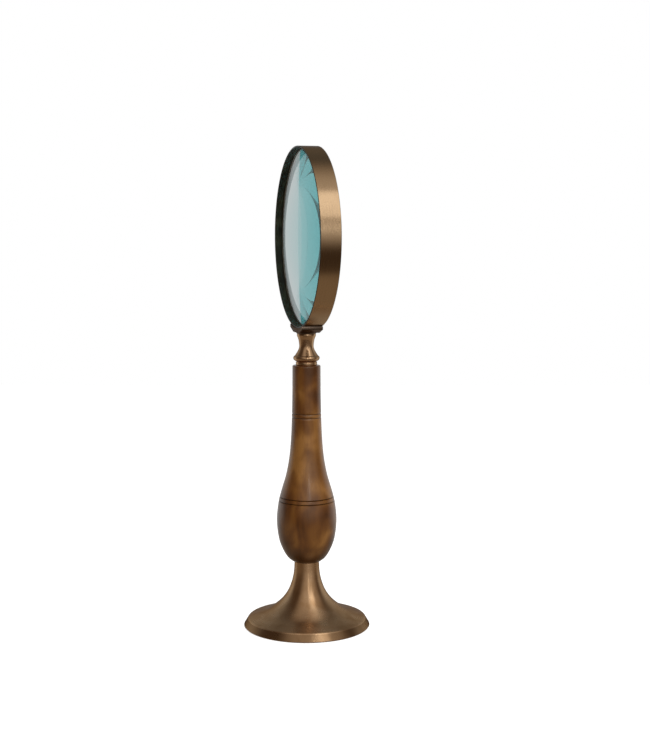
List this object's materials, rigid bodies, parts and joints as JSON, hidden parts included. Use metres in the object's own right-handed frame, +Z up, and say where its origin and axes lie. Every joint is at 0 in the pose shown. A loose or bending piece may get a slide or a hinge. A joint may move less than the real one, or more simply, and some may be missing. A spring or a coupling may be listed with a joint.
{
  "type": "stand magnifying glass",
  "caption": "Magnifying glass on a turned stand: a thick biconvex lens in a brass hoop, on a waisted brass neck that turns on a wooden bulb handle with a trumpet foot.",
  "frame": {"origin": "centre of the felt under the foot, on the surface it stands on", "axes": "+Z up along the stand's axis; the lens looks along Y with its front towards -Y; X runs across the hoop"},
  "size_m": [0.1402, 0.1, 0.3781],
  "materials": {
    "foot_brass": "antique brass, satin, turned lines",
    "neck_brass": "antique brass, polished then darkened",
    "saddle_brass": "dark patina, dull",
    "hoop_brass": "antique brass, brushed round the hoop",
    "wire_brass": "drawn wire, tarnished",
    "stained_wood": "walnut stain under satin lacquer",
    "lens_glass": "polished, faint green-blue tint",
    "felt": "pressed green baize",
    "zinc_steel": "bright zinc plate"
  },
  "bodies": {
    "stand": {"foot": "foot_brass", "felt_pad": "felt", "foot_washer": "zinc_steel", "lock_washer": "zinc_steel", "foot_nut": "zinc_steel", "tie_rod": "zinc_steel", "handle": "stained_wood", "ferrule": "neck_brass", "friction_washer": "zinc_steel"},
    "head": {"neck": "neck_brass", "saddle": "saddle_brass", "saddle_screw": "saddle_brass", "hoop": "hoop_brass", "front_retaining_ring": "wire_brass", "back_retaining_ring": "wire_brass", "lens": "lens_glass"}
  },
  "joints": [
    {"name": "head_swivel", "type": "hinge", "parent": "stand", "child": "head", "pos_m": [0, 0, 0.2121], "axis": [0, 0, 1], "range_deg": [-90, 90]}
  ]
}
